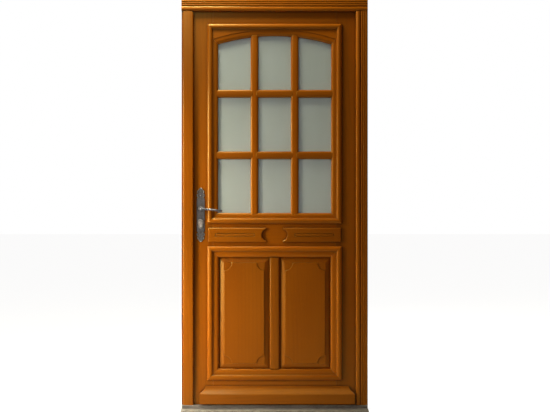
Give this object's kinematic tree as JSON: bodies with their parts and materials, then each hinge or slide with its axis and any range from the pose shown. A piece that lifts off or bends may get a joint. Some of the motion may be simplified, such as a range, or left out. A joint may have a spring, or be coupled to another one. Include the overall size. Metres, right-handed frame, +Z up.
{
  "type": "panelled front door with frame",
  "caption": "Wooden front door in its frame: glazed arched light with glazing bars over two raised panels, weatherboard, lever handles on long plates, aluminium threshold.",
  "frame": {"origin": "middle of the threshold's underside, in the plane of the leaf's outer face", "axes": "+Z up along the height, +X across from the lock side to the hinge side, +Y through the door towards the inside of the building"},
  "size_m": [0.98, 0.1794, 2.16],
  "materials": {
    "frame_wood": "stained and varnished",
    "leaf_wood": "stained and varnished",
    "moulding_wood": "stained and varnished",
    "panel_wood": "stained and varnished",
    "bar_wood": "stained and varnished",
    "glass": "finely frosted",
    "spacer": "satin",
    "threshold": "anodised satin",
    "seal": "matte",
    "hinge_steel": "satin",
    "lock_steel": "satin",
    "iron": "aged dark",
    "cylinder_nickel": "nickel plated"
  },
  "bodies": {
    "frame": {"frame_head": "frame_wood", "hinge_jamb": "frame_wood", "lock_jamb": "frame_wood", "lock_cover_strip": "frame_wood", "threshold": "threshold", "threshold_seal": "seal", "frame_seal": "seal", "strike_plate": "lock_steel", "frame_hinge_1": "hinge_steel", "frame_hinge_2": "hinge_steel", "frame_hinge_3": "hinge_steel"},
    "leaf": {"hinge_stile": "leaf_wood", "lock_stile": "leaf_wood", "top_rail": "leaf_wood", "mid_rail": "leaf_wood", "bottom_rail": "leaf_wood", "lower_muntin": "leaf_wood", "left_panel": "panel_wood", "right_panel": "panel_wood", "left_panel_moulding": "moulding_wood", "right_panel_moulding": "moulding_wood", "lower_panel_moulding": "moulding_wood", "upper_panel_moulding": "moulding_wood", "left_light_moulding": "moulding_wood", "right_light_moulding": "moulding_wood", "bottom_light_moulding": "moulding_wood", "top_light_bead": "moulding_wood", "arched_spandrel": "moulding_wood", "inner_arched_bead": "bar_wood", "inner_bottom_bead": "bar_wood", "inner_left_bead": "bar_wood", "inner_right_bead": "bar_wood", "outer_pane": "glass", "inner_pane": "glass", "glass_spacer": "spacer", "outer_upright_bar_1": "bar_wood", "outer_upright_bar_2": "bar_wood", "outer_cross_bar_1": "bar_wood", "outer_cross_bar_2": "bar_wood", "inner_upright_bar_1": "bar_wood", "inner_upright_bar_2": "bar_wood", "inner_cross_bar_1": "bar_wood", "inner_cross_bar_2": "bar_wood", "left_block": "moulding_wood", "right_block": "moulding_wood", "weatherboard": "moulding_wood", "leaf_hinge_1": "hinge_steel", "leaf_hinge_2": "hinge_steel", "leaf_hinge_3": "hinge_steel", "lock_case": "lock_steel", "lock_faceplate": "lock_steel", "cylinder_body": "cylinder_nickel", "outer_backplate": "iron", "inner_backplate": "iron"},
    "handle": {"outer_lever": "iron", "inner_lever": "iron", "spindle": "lock_steel"},
    "latch": {"latch_bolt": "lock_steel"},
    "deadbolt": {"deadbolt": "lock_steel"},
    "plug": {"cylinder_plug": "cylinder_nickel"}
  },
  "joints": [
    {"name": "leaf_swing", "type": "hinge", "parent": "frame", "child": "leaf", "pos_m": [0.442, 0.065, 0], "axis": [0, 0, -1], "range_deg": [0, 95]},
    {"name": "handle_turn", "type": "hinge", "parent": "leaf", "child": "handle", "pos_m": [-0.39, 0.028, 1.055], "axis": [0, 1, 0], "range_deg": [0, 40], "stiffness_Nm_per_rad": 1.5, "springref_deg": -34.38},
    {"name": "latch_slide", "type": "slide", "parent": "leaf", "child": "latch", "axis": [1, 0, 0], "range_m": [0, 0.012]},
    {"name": "cylinder_turn", "type": "hinge", "parent": "leaf", "child": "plug", "pos_m": [-0.39, 0.028, 0.985], "axis": [0, 1, 0], "range_deg": [0, 360]},
    {"name": "deadbolt_slide", "type": "slide", "parent": "leaf", "child": "deadbolt", "axis": [-1, 0, 0], "range_m": [0, 0.02]}
  ],
  "couplings": [
    {"joint": "latch_slide", "follows": "handle_turn", "m_per_rad": 0.01718},
    {"joint": "cylinder_turn", "follows": "deadbolt_slide", "rad_per_m": 314.15}
  ]
}
